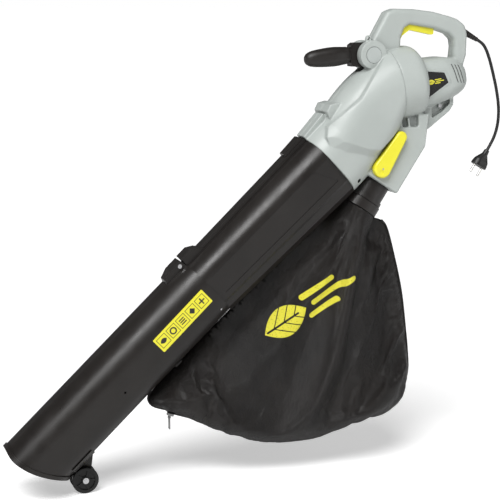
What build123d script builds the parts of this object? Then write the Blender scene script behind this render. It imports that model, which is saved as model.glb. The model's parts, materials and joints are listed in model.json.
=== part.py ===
"""Leaf vacuum mulcher: two-part suction tube, fan and motor housing, handles, lever, bag and cord.

Row frame, in millimetres: the origin is the centre of the hand on the main grip, +X runs
from the nozzle towards the cord, +Z is up, and Y = 0 is the plane where the housing splits.
The near side, which carries the mode lever, is -Y.
"""
from build123d import *
from math import cos, pi, radians, sin, tan
import os

os.makedirs("parts", exist_ok=True)

# ---------------------------------------------------------------- driving dimensions
TUBE_ANGLE = 43.5            # slope of the suction tube above the horizontal
WALL = 3.0                   # moulded wall thickness
FIT = 0.4                    # clearance between parts that plug together
SHAFT_FIT = 0.03             # radial clearance of a shaft in its bearing

MOUTH_S = -1199.0            # stations along the tube, from the origin towards the housing
TUBE_JOINT_S = -697.0
TUBE_TOP_S = -352.0
COLLAR_END_S = -300.0
SPIGOT_LENGTH = 30.0
LOWER_WIDTH, LOWER_HEIGHT, LOWER_RADIUS = 118.0, 130.0, 50.0
LOWER_CENTRE_T = -55.5       # the tube's centre line, below the line through the origin
COLLAR_CENTRE_T = -64.0
COLLAR_WIDTH, COLLAR_HEIGHT, COLLAR_RADIUS = 130.0, 150.0, 56.0

FAN_TILT = 10.0              # slope of the motor shaft
FAN_X, FAN_Z = -75.0, -134.0  # where the shaft axis meets the front plane of the fan drum
DRUM_RADIUS, DRUM_LENGTH = 75.0, 64.0
CHAMBER_RADIUS, CHAMBER_LENGTH = 70.0, 47.0
SHAFT_RADIUS = 4.0

DUCT_ANGLE = 56.8            # slope of the outlet duct and the bag spout
DUCT_X, DUCT_Z = -108.0, -327.0  # where the spout axis leaves the outlet block
DUCT_HALF_WIDTH = 48.0
SPOUT_RADIUS = 36.5

KNUCKLE_X, KNUCKLE_Z = -124.0, -70.0
KNUCKLE_RADIUS, KNUCKLE_HALF_WIDTH, FORK_HALF_GAP = 28.5, 34.0, 12.0
CAP_RADIUS, CAP_RECESS_Y = 15.8, 29.0
PIVOT_RADIUS, PIVOT_NUT_ACROSS = 4.0, 7.5

HANDLE_HALF_WIDTH = 18.0
AXLE_X, AXLE_Z, AXLE_RADIUS = -720.0, -892.0, 3.0
WHEEL_RADIUS = 26.5
LEVER_X, LEVER_Z = -112.6, -295.1
CORD_RADIUS = 3.2
PIN_RADIUS, PIN_SPACING, PIN_LENGTH = 2.4, 19.0, 19.0

# Suction tube: side outlines as (s, t), along the tube and above the line through the origin
CLIP_LOWER = [(-752, 6), (-748, 17), (-728, 24), (-700, 24), (-698, 6)]
CLIP_UPPER = [(-696, 4), (-696, 25), (-672, 25), (-658, 16), (-650, 4)]
CLIP_SCREW = (-708, 16.5)
DRAIN_HOLE = (-958, -68)
SIDE_SCREW_S, SIDE_SCREW_ANGLE = -712.0, 30.0
COLLAR_CLIP = [(-406, 8), (-404, 20), (-358, 22), (-356, 8)]
SPINE_HALF_WIDTH, SPINE_TOP = 15.0, 12.5
SIDE_PANEL = [(-682, -32), (-398, -32), (-390, -40), (-366, -86), (-682, -78)]
UPPER_AT_JOINT = (57.5, 5.0, -120.5)     # half width, top and bottom at the lower end
UPPER_AT_COLLAR = (61.0, 6.0, -135.0)    # the same at the housing end

# Housing: side outlines as (x, z) points
HANDLE_OUTSIDE = [(-126, -50), (-89, 15), (-72, 21), (-30, 20), (13, 15), (50, 6), (69, 0), (86, -12),
                  (92, -30), (91, -73), (80, -110), (-60, -110), (-100, -90)]
HANDLE_GAP = [(-58, -82), (-56.5, -36), (-49, -17), (-38, -11), (15, -19.5), (48, -30), (60, -41),
              (62.5, -56), (60, -82)]
HANDLE_CAVITY = [(-100, -20), (-84, 8), (-70, 14), (13, 8.5), (66, -6), (80, -16), (84, -32),
                 (70, -34), (54, -26), (40, -12), (22, -3), (-44, -3), (-66, -14), (-76, -34)]
TRIGGER_SLOT = [(-69, -31), (-68, -15), (-50, -3), (18.6, -3), (18.6, -36), (-20, -36), (-46, -30),
                (-53, -50), (-60, -50), (-62, -33)]
BLOCK = [(-70, -214), (-30, -214), (-30, -188), (-6, -188), (-13, -254), (-75, -349), (-142.3, -304.6),
         (-134, -250)]
LOWER_WEB = [(-168, -336), (-146, -300), (-130, -292), (-120, -262), (-180, -240), (-196, -316)]
GUSSET = [(-10, -160), (40, -140), (59, -152), (60, -172), (51, -186), (-2, -226), (-12, -200)]
GUSSET_BOSS = (31, -175)
GUSSET_POCKET = [(9, -178), (48, -158), (49, -170), (33, -186), (10, -199)]
COLLAR_RAIL = [(-352, -10), (-352, 18), (-292, 23), (-285, -10)]
COLLAR_HUMP = [(-300, -10), (-286, 24), (-272, 29), (-258, 21), (-240, -10)]
SHIELD_OUTSIDE = [(-92, -60), (-70, -60), (-50, -140), (-50, -212), (-84, -224), (-122, -261),
                  (-149, -275), (-201, -267), (-225, -252), (-234, -229), (-228, -208), (-200, -184),
                  (-163, -152), (-134, -112)]
SHIELD_TOP = [(-100, -75), (-75, -75), (-60, -140), (-60, -205), (-92, -224), (-117, -250),
              (-148, -245), (-185, -235), (-196, -231), (-196, -222), (-192, -208), (-180, -188),
              (-158, -158), (-130, -118)]
SHIELD_BASE_Y, SHIELD_TOP_Y, SHIELD_RISE = 60.0, 77.0, 9.0
VENT_FINS = [-68.0, -51.0]
BADGE = [(-17, -103), (23, -106), (33, -126), (-14, -158)]
BADGE_Y = 50.0
REAR_SLOT_STARTS = [(40, -88), (49, -89), (58, -90)]
REAR_SLOT_LEAN = (17.5, -40)
DUCT = [(-52, -190), (-8, -205), (-12, -258), (-75.5, -341.5), (-135, -303), (-100, -250)]
FLAP_LENGTH = 40.0

# Screws that close the housing: x, z, the side of the head, and the depth of the seat and the bore
HOUSING_SCREWS = [(-159, -318, -1, 18, 60), (31, -175, -1, 18, 60), (74, -18, 1, 13, 20),
                  (-78, 6, 1, 13, 20), (76, -74, 1, 13, 20), (-241.9, -213, 1, 17, 22)]
SCREW_RADIUS, SCREW_HEAD_RADIUS, SCREW_REACH = 2.0, 3.8, 14.5
POST_RADIUS = 5.0

# Motor and fan
STATOR_RADIUS, BEARING_RADIUS, BEARING_WIDTH = 34.0, 11.0, 7.0
IMPELLER_RADIUS, BLADE_COUNT = 62.0, 8
COMMUTATOR_RADIUS, ARMATURE_RADIUS = 12.0, 18.0
BRUSH_GAP = 0.3

# Trigger, mode lever and the small fittings of the housing
TRIGGER_HALF_WIDTH = 9.0
TRIGGER_PIVOT = (-60.0, -24.0)
LEVER_LENGTH, LEVER_TILT, LEVER_THICKNESS = 74.0, 57.0, 13.0
LEVER_Y = -DUCT_HALF_WIDTH - 0.6
SPRING_X, SPRING_TOP = -6.0, 4.0
EYELET_BORE = 3.0
BOOT_X, BOOT_Z, BOOT_TILT, BOOT_LENGTH = 88.0, -25.0, 27.6, 38.0
BOOT_RADIUS = 7.0
TRIGGER = [(-57, -42), (-52.5, -33), (-36, -21.5), (14, -31.5), (17.5, -29), (17.5, -14), (-28, -9),
           (-50, -13), (-64, -19), (-65.5, -27), (-59, -31)]
SWITCH = (11.5, 1.4)         # centre of the switch, in x and z

# Route of the cord from the strain relief's tip to the plug, as (x, y, z)
CORD_ROUTE = [(121.7, 0.0, -42.63), (132.4, 0.0, -48.2), (142.4, 0.6, -59.2), (153.0, 1.2, -83.0),
              (162.4, 1.5, -113.4), (171.6, 1.0, -148.0), (177.4, 0.2, -184.0), (176.3, -0.6, -214.5),
              (169.6, -1.0, -240.5), (160.6, 0.0, -259.0), (152.6, 0.0, -272.0)]

# Plug: distance from the cord, width, depth and corner radius of each section
PLUG_ROWS = [(0, 10.5, 10.5, 5.2), (10, 13, 12, 5.9), (17, 22, 15, 7.4), (25, 32, 21, 10.4),
             (34, 35.5, 25, 12.4), (38, 35.5, 25, 12.4)]

# Front handle: the grip's rows are distance, width, height and corner radius
HUB_RADIUS, HUB_HALF_WIDTH = 24.0, 11.4
GRIP_DROP = 5.0              # degrees the front grip leans below the horizontal
GRIP_ROWS = [(46, 30, 34, 13), (62, 32, 37, 14), (86, 34, 38, 15), (112, 31, 34, 14),
             (128, 24, 26, 11), (135, 12, 13, 5.5)]

# Bag: outline as (x, z), and layers as (half thickness, share of the outline)
SPOUT_END = 62.0
BAG_START = 62.0
BAG_OUTLINE = [(-181, -368), (-200, -385), (-580.5, -734), (-589, -738), (-589, -752), (-545, -770),
               (-350, -838), (-300, -845), (-241, -845), (-151, -829), (-72, -819), (-32, -788),
               (-22, -743), (-21, -689), (-27, -645), (-41, -558), (-62, -472), (-82, -414), (-108, -410)]
BAG_CENTRE = (-230, -640)
BAG_LAYERS = [(0, 1.0), (30, 0.94), (52, 0.80), (66, 0.52)]
ZIP_START, ZIP_END = (-548.0, -770.6), (-352.0, -839.0)
ZIP_SLOPE = -19.23

# Wheels and their bracket
WHEEL_INSIDE, WHEEL_OUTSIDE = 6.2, 16.2
BRACKET = [(-700.5, -830), (-704, -857), (-707, -880), (-710, -901), (-728, -903), (-735, -890),
           (-748, -879), (-757, -885.5)]
SPOKES = 5

# Slopes used throughout
TUBE_COS, TUBE_SIN = cos(radians(TUBE_ANGLE)), sin(radians(TUBE_ANGLE))
FAN_COS, FAN_SIN = cos(radians(FAN_TILT)), sin(radians(FAN_TILT))
DUCT_COS, DUCT_SIN = cos(radians(DUCT_ANGLE)), sin(radians(DUCT_ANGLE))


# ---------------------------------------------------------------- frames and small helpers
def on_tube(s, t, y=0.0):
    """Point s along the tube and t above the line through the origin."""
    return Vector(s * TUBE_COS - t * TUBE_SIN, y, s * TUBE_SIN + t * TUBE_COS)


def tube_plane(s, t=0.0):
    """Cross-section plane of the tube: local x is +Y, local y is the tube's upward normal."""
    return Plane(origin=on_tube(s, t), x_dir=(0, 1, 0), z_dir=(TUBE_COS, 0, TUBE_SIN))


def tube_side_plane():
    """Side plane whose local x runs along the tube and local y along its upward normal."""
    return Plane(origin=(0, 0, 0), x_dir=(TUBE_COS, 0, TUBE_SIN), z_dir=(0, -1, 0))


def fan_plane(along=0.0):
    """Plane across the motor shaft: local x is +Y, local y is upwards."""
    origin = (FAN_X + along * FAN_COS, 0, FAN_Z + along * FAN_SIN)
    return Plane(origin=origin, x_dir=(0, 1, 0), z_dir=(FAN_COS, 0, FAN_SIN))


def duct_plane(down=0.0):
    """Plane across the outlet duct: local z points down the duct, local x is +Y."""
    origin = (DUCT_X - down * DUCT_COS, 0, DUCT_Z - down * DUCT_SIN)
    return Plane(origin=origin, x_dir=(0, 1, 0), z_dir=(-DUCT_COS, 0, -DUCT_SIN))


def across(x, z, y=0.0):
    """Plane at a side-view point whose local z is +Y."""
    return Plane(origin=(x, y, z), x_dir=(1, 0, 0), z_dir=(0, 1, 0))


def rod(plane, radius, start, end):
    """Round bar along the plane's normal from start to end."""
    bar = Cylinder(radius, end - start, align=(Align.CENTER, Align.CENTER, Align.MIN))
    return plane * Pos(0, 0, start) * bar


def ring(plane, outer, inner, start, end):
    return rod(plane, outer, start, end) - rod(plane, inner, start - 1, end + 1)


def side_face(points, radius=0.0, plane=Plane.XZ):
    face = Polygon(*points, align=None)
    if radius:
        face = fillet(face.vertices(), radius)
    return plane * face


def side_slab(points, half_width, radius=0.0, plane=Plane.XZ):
    """Side-view outline extruded to both sides of the split plane."""
    return extrude(side_face(points, radius, plane), amount=half_width, both=True)


def shrunk(points, centre, share):
    return [(centre[0] + (x - centre[0]) * share, centre[1] + (z - centre[1]) * share)
            for x, z in points]


def save(name, shape):
    export_step(shape, f"parts/{name}.step")


# ---------------------------------------------------------------- suction tubes
def lower_section(s, grow=0.0):
    outline = RectangleRounded(LOWER_WIDTH + 2 * grow, LOWER_HEIGHT + 2 * grow, LOWER_RADIUS + grow)
    return tube_plane(s, LOWER_CENTRE_T) * outline


def lower_bar(start, end, grow=0.0):
    return loft([lower_section(start, grow), lower_section(end, grow)], ruled=True)


def mouth_cutter(inset=0.0):
    """Everything in front of the curved, slanted mouth of the nozzle."""
    edge = Spline((MOUTH_S + 25, 24), (MOUTH_S + 1, 2), (MOUTH_S + 3, -22), (MOUTH_S + 14, -58),
                  (MOUTH_S + 34, -98), (MOUTH_S + 46, -128))
    far = Polyline((MOUTH_S + 46, -128), (MOUTH_S - 60, -160), (MOUTH_S - 60, 60), (MOUTH_S + 25, 24))
    face = tube_side_plane() * Pos(inset, 0) * make_face(edge + far)
    return extrude(face, amount=90, both=True)


def make_lower_tube():
    start, lip_length, lip = MOUTH_S - 20, 9.0, 2.5
    body = lower_bar(start, TUBE_JOINT_S)
    rim_zone = mouth_cutter(lip_length) & lower_bar(start, MOUTH_S + 90, lip)
    body += rim_zone
    body += side_slab(CLIP_LOWER, 17, plane=tube_side_plane())
    body -= lower_bar(start - 5, TUBE_JOINT_S + 5, -2.5)
    body -= mouth_cutter()
    body -= rod(across(*side_point(*CLIP_SCREW)), 2.1, -18, 18)
    body -= rod(across(*side_point(*DRAIN_HOLE)), 2.2, -80, 80)
    for side in (-1, 1):
        body -= rod(side_screw_plane(side), 2.1, -6, 6)
    return body


def side_point(s, t):
    point = on_tube(s, t)
    return point.X, point.Z


def side_screw_plane(side):
    """Plane on the lower tube's flank, near the joint, whose z points out of the surface."""
    angle = radians(SIDE_SCREW_ANGLE)
    y = side * (LOWER_WIDTH / 2 - LOWER_RADIUS + LOWER_RADIUS * cos(angle))
    t = LOWER_CENTRE_T - (LOWER_HEIGHT / 2 - LOWER_RADIUS) - LOWER_RADIUS * sin(angle)
    down = Vector(TUBE_SIN, 0, -TUBE_COS)
    outward = Vector(0, side * cos(angle), 0) + down * sin(angle)
    return Plane(origin=on_tube(SIDE_SCREW_S, t, y), x_dir=(TUBE_COS, 0, TUBE_SIN), z_dir=outward)


def make_tube_screws():
    x, z = side_point(*CLIP_SCREW)
    screws = [rod(across(x, z), 2.05, -17, 12) + rod(across(x, z), 4.2, -19.4, -17)]
    for side in (-1, 1):
        plane = side_screw_plane(side)
        screws.append(rod(plane, 2.05, -5.5, 0) + rod(plane, 4.0, 0.1, 2.3))
    return Compound(children=[Solid(s.solids()[0].wrapped) for s in screws])




def upper_section(s, half_width, top, bottom):
    """Upper tube outline: round shoulders, flat sides, a narrower strip along the bottom."""
    shoulder_t = top - 0.30 * (top - bottom)
    side_low = bottom + 0.26 * (top - bottom)
    crown = 0.25 * half_width
    rise, reach = top - shoulder_t, half_width - crown
    corners = [(half_width - 5, side_low), (half_width - 9, side_low - 6),
               (half_width - 15, bottom + 13), (half_width - 29, bottom)]
    right = Bezier((half_width, shoulder_t), (half_width, shoulder_t + 0.6 * rise),
                   (crown + 0.45 * reach, top), (crown, top))
    left = Bezier((-crown, top), (-crown - 0.45 * reach, top),
                  (-half_width, shoulder_t + 0.6 * rise), (-half_width, shoulder_t))
    below = Polyline((-half_width, shoulder_t), *[(-y, t) for y, t in corners],
                     *reversed(corners), (half_width, shoulder_t))
    return tube_plane(s) * make_face(right + Line((crown, top), (-crown, top)) + left + below)


def upper_bar(start, end, grow=0.0):
    def size(s):
        share = (s - TUBE_JOINT_S) / (TUBE_TOP_S - TUBE_JOINT_S)
        half, top, bottom = (a + share * (b - a) for a, b in zip(UPPER_AT_JOINT, UPPER_AT_COLLAR))
        return half + grow, top + grow, bottom - grow
    return loft([upper_section(start, *size(start)), upper_section(end, *size(end))], ruled=True)


def make_upper_tube():
    body = upper_bar(TUBE_JOINT_S, TUBE_TOP_S)
    spine = [(TUBE_JOINT_S, -10), (TUBE_JOINT_S, SPINE_TOP - 1), (TUBE_TOP_S, SPINE_TOP + 1),
             (TUBE_TOP_S, -10)]
    body += side_slab(spine, SPINE_HALF_WIDTH, plane=tube_side_plane())
    body += side_slab(CLIP_UPPER, 17, plane=tube_side_plane())
    body += side_slab(COLLAR_CLIP, 12, plane=tube_side_plane())
    body += lower_bar(TUBE_JOINT_S - SPIGOT_LENGTH, TUBE_JOINT_S, -2.5 - FIT)
    body += upper_bar(TUBE_TOP_S, TUBE_TOP_S + SPIGOT_LENGTH, -WALL - FIT)
    body -= lower_bar(TUBE_JOINT_S - SPIGOT_LENGTH - 1, TUBE_JOINT_S + 13, -5.4)
    body -= upper_bar(TUBE_JOINT_S + 12, TUBE_TOP_S - 8, -WALL)
    body -= upper_bar(TUBE_TOP_S - 9, TUBE_TOP_S + SPIGOT_LENGTH + 1, -WALL - FIT - 2.5)
    skin = upper_bar(TUBE_JOINT_S, TUBE_TOP_S, 1.0) - upper_bar(TUBE_JOINT_S, TUBE_TOP_S, -1.2)
    body -= skin & side_slab(SIDE_PANEL, 90, 2, tube_side_plane())
    body -= rod(across(*side_point(*CLIP_SCREW)), 2.1, -18, 18)
    body -= rod(duct_plane(), SPOUT_RADIUS + FIT, -14, 70)
    middle = (TUBE_JOINT_S + TUBE_TOP_S) / 2
    for side in (-1, 1):
        body -= rod(side_screw_plane(side), 2.1, -8, 6)
        groove = Box(TUBE_TOP_S - TUBE_JOINT_S - 16, 1.6, 6)
        along = Plane(origin=on_tube(middle, 7.0, side * 19.5), x_dir=(TUBE_COS, 0, TUBE_SIN),
                      z_dir=(-TUBE_SIN, 0, TUBE_COS))
        body -= along * groove
    return body


# ---------------------------------------------------------------- housing


def oval(plane, width, height, radius, up=0.0):
    return plane * Pos(0, up) * RectangleRounded(width, height, radius)


def throat_plane():
    """Section plane halfway between the collar and the fan drum."""
    angle = radians((TUBE_ANGLE + FAN_TILT) / 2)
    return Plane(origin=(-128, 0, -192), x_dir=(0, 1, 0), z_dir=(cos(angle), 0, sin(angle)))


def intake(grow=0.0):
    """Body that turns the air from the collar into the eye of the fan."""
    w, h, r = COLLAR_WIDTH + 2 * grow, COLLAR_HEIGHT + 2 * grow, COLLAR_RADIUS + grow
    eye = 2 * DRUM_RADIUS - 14 + 2 * grow
    return loft([oval(tube_plane(COLLAR_END_S, COLLAR_CENTRE_T), w, h, r),
                 oval(throat_plane(), w - 4, h + 12, r),
                 oval(fan_plane(), eye, eye, eye / 2 - 1)])


def collar(grow=0.0):
    w, h, r = COLLAR_WIDTH + 2 * grow, COLLAR_HEIGHT + 2 * grow, COLLAR_RADIUS + grow
    return loft([oval(tube_plane(TUBE_TOP_S, COLLAR_CENTRE_T), w, h, r),
                 oval(tube_plane(COLLAR_END_S, COLLAR_CENTRE_T), w, h, r)], ruled=True)


def drum():
    body = Cylinder(DRUM_RADIUS, DRUM_LENGTH, align=(Align.CENTER, Align.CENTER, Align.MIN))
    rims = body.edges().filter_by(GeomType.CIRCLE).sort_by(Axis.Z)
    body = fillet(rims[-1], 24)
    body = fillet(body.edges().filter_by(GeomType.CIRCLE).sort_by(Axis.Z)[0], 5)
    return fan_plane() * body


def motor_cover(inset=0.0):
    """Cover behind the drum, narrowing to a rounded tail; each row is one section."""
    rows = [(40, 50, 52, 34, -7), (112, 50, 45, 30, -6), (142, 41, 36, 26, -6), (160, 27, 24, 18, -8),
            (166, 16, 14, 11, -9)]
    sections = [oval(fan_plane(along), 2 * (wide - inset), 2 * (tall - inset), radius - inset * 0.8, up)
                for along, wide, tall, radius, up in rows]
    front = loft(sections[:2], ruled=True)
    return front + loft(sections[1:])


def soft_edges(body, half_width, radius):
    """Round the long edges of a side-view slab on its near and far faces."""
    def on_face(edge):
        return abs(abs(edge.center().Y) - half_width) < 0.001 and edge.bounding_box().size.Y < 0.001
    return fillet(body.edges().filter_by(on_face), radius)


def handle_loop():
    loop = side_slab(HANDLE_OUTSIDE, HANDLE_HALF_WIDTH, 12)
    loop -= side_slab(HANDLE_GAP, HANDLE_HALF_WIDTH + 20, 7)
    return soft_edges(loop, HANDLE_HALF_WIDTH, 9)


def fork():
    """Cheeks that carry the front handle's pivot; fork_slot() parts them."""
    return rod(across(KNUCKLE_X, KNUCKLE_Z), KNUCKLE_RADIUS, -KNUCKLE_HALF_WIDTH, KNUCKLE_HALF_WIDTH)


def shield():
    """Raised teardrop panel on each flank of the fan intake, with sloping facets round it."""
    prism = side_slab(SHIELD_OUTSIDE, SHIELD_BASE_Y)
    for side in (-1, 1):
        low = Plane(origin=(0, side * SHIELD_BASE_Y, 0), x_dir=(1, 0, 0), z_dir=(0, -1, 0))
        high = Plane(origin=(0, side * SHIELD_TOP_Y, 0), x_dir=(1, 0, 0), z_dir=(0, -1, 0))
        prism += loft([side_face(SHIELD_OUTSIDE, plane=low), side_face(SHIELD_TOP, plane=high)],
                      ruled=True)
    return (intake(SHIELD_RISE) + collar(SHIELD_RISE)) & prism


def outer_housing():
    body = collar() + intake() + drum() + motor_cover() + handle_loop() + fork()
    body += soft_edges(side_slab(BLOCK, DUCT_HALF_WIDTH, 3), DUCT_HALF_WIDTH, 4)
    body += vent_fins()
    body += side_slab(LOWER_WEB, DUCT_HALF_WIDTH - 4) - upper_bar(TUBE_JOINT_S, TUBE_TOP_S, FIT)
    body += soft_edges(side_slab(GUSSET, 26, 6), 26, 5)
    body += side_slab(COLLAR_RAIL, 21, plane=tube_side_plane())
    body += side_slab(COLLAR_HUMP, 36, plane=tube_side_plane())
    body += shield()
    body += eyelet()
    return body


def eyelet():
    x, z = KNUCKLE_X - 9, KNUCKLE_Z + KNUCKLE_RADIUS + 4
    return rod(across(x, z), 6.5, -26, -20) + side_slab([(x - 6, z), (x + 6, z), (x + 8, z - 12),
                                                         (x - 6, z - 14)], 3).moved(Pos(0, -23, 0))


def air_path():
    """Everything the air flows through: collar, throat, fan chamber and outlet duct."""
    cavity = upper_bar(TUBE_TOP_S - 1, TUBE_TOP_S + SPIGOT_LENGTH + FIT, -WALL)
    eye = DRUM_RADIUS * 2 - 26
    cavity += loft([oval(tube_plane(TUBE_TOP_S + SPIGOT_LENGTH, COLLAR_CENTRE_T), 112, 130, 46),
                    oval(throat_plane(), 118, 140, 56), oval(fan_plane(2), eye, eye, eye / 2 - 1)])
    cavity += rod(fan_plane(), CHAMBER_RADIUS, 1.5, CHAMBER_LENGTH)
    cavity += side_slab(DUCT, DUCT_HALF_WIDTH - 15)
    cavity += spout_hole()
    return cavity


def spout_hole():
    hole = rod(duct_plane(), SPOUT_RADIUS + FIT, -14, 60) + rod(duct_plane(), SPOUT_RADIUS + 1.6, 2.5, 60)
    return hole + rod(duct_plane(), SPOUT_RADIUS + 3, 30, 60)


def motor_bay():
    rows = [(52, 46, 47, 30, -6), (112, 46, 41, 27, -5), (148, 34, 28, 20, -6)]
    sections = [oval(fan_plane(along), 2 * wide, 2 * tall, radius, up)
                for along, wide, tall, radius, up in rows]
    bay = loft(sections, ruled=True)
    for along in (84, 106):
        bay -= ring(fan_plane(), 60, STATOR_RADIUS, along, along + 5)
    bay -= rod(fan_plane(), 14.5, 143, 150)
    bay += rod(fan_plane(), BEARING_RADIUS, 144.5, 154)
    bay += rod(fan_plane(), BEARING_RADIUS, CHAMBER_LENGTH - 1, 54)
    bay += rod(fan_plane(), SHAFT_RADIUS + 1.5, 54, 146)
    return bay


def screw_posts():
    posts = [rod(across(x, z), POST_RADIUS, -30, 30) for x, z, side, seat, bore in HOUSING_SCREWS]
    return posts[0] + posts[1:]


def screw_plane(x, z, side):
    """Plane at a housing screw, on the split plane, whose z points towards the head."""
    return Plane(origin=(x, 0, z), x_dir=(1, 0, 0), z_dir=(0, side, 0))


def screw_holes():
    holes = []
    for x, z, side, seat, bore in HOUSING_SCREWS:
        plane = screw_plane(x, z, side)
        holes.append(rod(plane, SCREW_RADIUS + 0.05, -SCREW_REACH - 0.3, seat + 0.1))
        holes.append(rod(plane, SCREW_HEAD_RADIUS + 0.4, seat, bore))
    return holes[0] + holes[1:]


def both_sides(points, inner, outer, radius=0.0):
    """The same outline cut or raised between two depths on the near and the far side."""
    return side_slab(points, outer, radius) - side_slab(points, inner, radius)


def vent_fins():
    """Sloping fins that bridge the gap between the fan drum and the outlet block."""
    fins = [side_slab([(x - 3, -196), (x + 1, -196), (x + 5, -218), (x + 1, -218)], DUCT_HALF_WIDTH - 2)
            for x in VENT_FINS]
    return fins[0] + fins[1] + side_slab([(-78, -192), (-20, -176), (-20, -218), (-78, -224)], 36)


def rear_slots():
    dx, dz = REAR_SLOT_LEAN
    slots = [both_sides([(x, z), (x + 2.4, z), (x + dx + 2.4, z + dz), (x + dx, z + dz)], 14, 80)
             for x, z in REAR_SLOT_STARTS]
    return slots[0] + slots[1:]


def make_housing():
    body = outer_housing()
    body += both_sides(grown_badge(5.0), 30, BADGE_Y + 1.4, 4)
    body -= both_sides(BADGE, BADGE_Y + 0.2, BADGE_Y + 30)
    inside = air_path() + motor_bay() + side_slab(HANDLE_CAVITY, 14)
    fan_room = rod(fan_plane(), 64, 1.5, CHAMBER_LENGTH) + rod(fan_plane(), STATOR_RADIUS, 52, 142)
    posts = (screw_posts() & inside) - fan_room
    body = body - inside + posts
    body -= rear_slots()
    body -= side_slab(TRIGGER_SLOT, TRIGGER_HALF_WIDTH + 0.6)
    body -= rod(Plane(origin=(SPRING_X, 0, -8)), 5.5, 0, SPRING_TOP + 8)
    body -= both_sides(GUSSET_POCKET, 18, 40)
    body += rod(across(*GUSSET_BOSS), 6, -23, 23)
    body -= fork_slot()
    body -= rod(across(LEVER_X, LEVER_Z), 5.06, -60, 60)
    body -= rod(across(KNUCKLE_X, KNUCKLE_Z), PIVOT_RADIUS + 0.05, -60, 60)
    for side in (-1, 1):
        body -= rod(across(KNUCKLE_X, KNUCKLE_Z, side * CAP_RECESS_Y), CAP_RADIUS + 0.2, -6.5, 6.5)
    body -= screw_holes()
    body -= spout_hole()
    body -= rod(across(*eyelet_centre()), EYELET_BORE, -40, -10)
    body -= rod(boot_plane(), BOOT_RADIUS + 0.1, -12, 14)
    body -= rod(across(*TRIGGER_PIVOT), 2.03, -13.7, 13.7)
    body -= lever_recess()
    body -= rod(boot_plane(), BOOT_RADIUS + 2.6, -16, -6)
    return body


def lever_blank(grow, start, thickness):
    """The mode lever's teardrop outline, from the plane y = start outwards."""
    dx = LEVER_LENGTH * cos(radians(LEVER_TILT))
    dz = LEVER_LENGTH * sin(radians(LEVER_TILT))
    outline = make_hull(Circle(18.5 + grow).edges() + (Pos(dx, dz) * Circle(12 + grow)).edges())
    face = Plane(origin=(LEVER_X, start, LEVER_Z), x_dir=(1, 0, 0), z_dir=(0, -1, 0)) * outline
    return extrude(face, amount=thickness)


def lever_recess():
    return lever_blank(1.2, -DUCT_HALF_WIDTH, 40)


def eyelet_centre():
    return KNUCKLE_X - 9, KNUCKLE_Z + KNUCKLE_RADIUS + 4


def grown_badge(by):
    return [(-17 - by, -103 + by), (23 + by * 0.6, -106 + by), (33 + by * 1.2, -126), (-14 - by, -158 - by)]


def fork_slot():
    """Room between the fork's cheeks for the hub of the front handle and its swing."""
    slot = rod(across(KNUCKLE_X, KNUCKLE_Z), KNUCKLE_RADIUS + 2, -FORK_HALF_GAP, FORK_HALF_GAP)
    swing = [(KNUCKLE_X, KNUCKLE_Z - 29), (KNUCKLE_X - 50, KNUCKLE_Z - 40),
             (KNUCKLE_X - 60, KNUCKLE_Z + 30), (KNUCKLE_X - 24, KNUCKLE_Z + 50),
             (KNUCKLE_X, KNUCKLE_Z + 29)]
    return slot + side_slab(swing, FORK_HALF_GAP)




def boot_plane():
    """Plane at the cord exit whose z points out along the strain relief."""
    tilt = radians(BOOT_TILT)
    return Plane(origin=(BOOT_X, 0, BOOT_Z), x_dir=(0, 1, 0), z_dir=(cos(tilt), 0, -sin(tilt)))


def near_half():
    return Pos(-80, -150, -160) * Box(500, 300, 460)


def far_half():
    return Pos(-80, 150, -160) * Box(500, 300, 460)


def one_solid(shape):
    return max(shape.solids(), key=lambda solid: solid.volume)


def group(solids):
    return Compound(children=[Solid(solid.wrapped) for solid in solids])


def make_housing_screws():
    screws = []
    for x, z, side, seat, bore in HOUSING_SCREWS:
        plane = screw_plane(x, z, side)
        screw = rod(plane, SCREW_RADIUS, -SCREW_REACH, seat + 0.2)
        screw += rod(plane, SCREW_HEAD_RADIUS, seat + 0.02, seat + 2.4)
        for wide, tall in ((1.0, 5.4), (5.4, 1.0)):
            screw -= plane * Pos(0, 0, seat + 2.4) * Box(wide, tall, 2.4)
        screws.append(one_solid(screw))
    return group(screws)


# ---------------------------------------------------------------- motor and fan


def make_motor_shaft():
    return rod(fan_plane(), SHAFT_RADIUS, 3, 153)


def make_impeller():
    hub = rod(fan_plane(), 14, 13, 41) + rod(fan_plane(), IMPELLER_RADIUS, 38.5, 41)
    for k in range(BLADE_COUNT):
        blade = Pos(IMPELLER_RADIUS / 2 + 5, 0, 27) * Rot(0, 0, 12) * Box(IMPELLER_RADIUS - 16, 2.6, 24)
        hub += fan_plane() * Rot(0, 0, 360 / BLADE_COUNT * k) * blade
    return one_solid(hub - rod(fan_plane(), SHAFT_RADIUS, 0, 60))


def make_shredder_blade():
    bar = fan_plane() * Pos(0, 0, 11.75) * extrude(RectangleRounded(104, 18, 6), amount=1.25, both=True)
    bevel = fan_plane() * Pos(38, 9, 13) * Rot(35, 0, 0) * Box(28, 6, 6)
    other = fan_plane() * Pos(-38, -9, 13) * Rot(-35, 0, 0) * Box(28, 6, 6)
    return one_solid(bar - bevel - other - rod(fan_plane(), SHAFT_RADIUS, 0, 20))


def make_impeller_nut():
    nut = fan_plane() * Pos(0, 0, 4) * extrude(RegularPolygon(7.5, 6), amount=5)
    nut += rod(fan_plane(), 9, 9, 10.5)
    return one_solid(nut - rod(fan_plane(), SHAFT_RADIUS, 0, 20))


def make_bearing(start):
    return ring(fan_plane(), BEARING_RADIUS - 0.02, SHAFT_RADIUS + SHAFT_FIT, start, start + BEARING_WIDTH)


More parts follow.
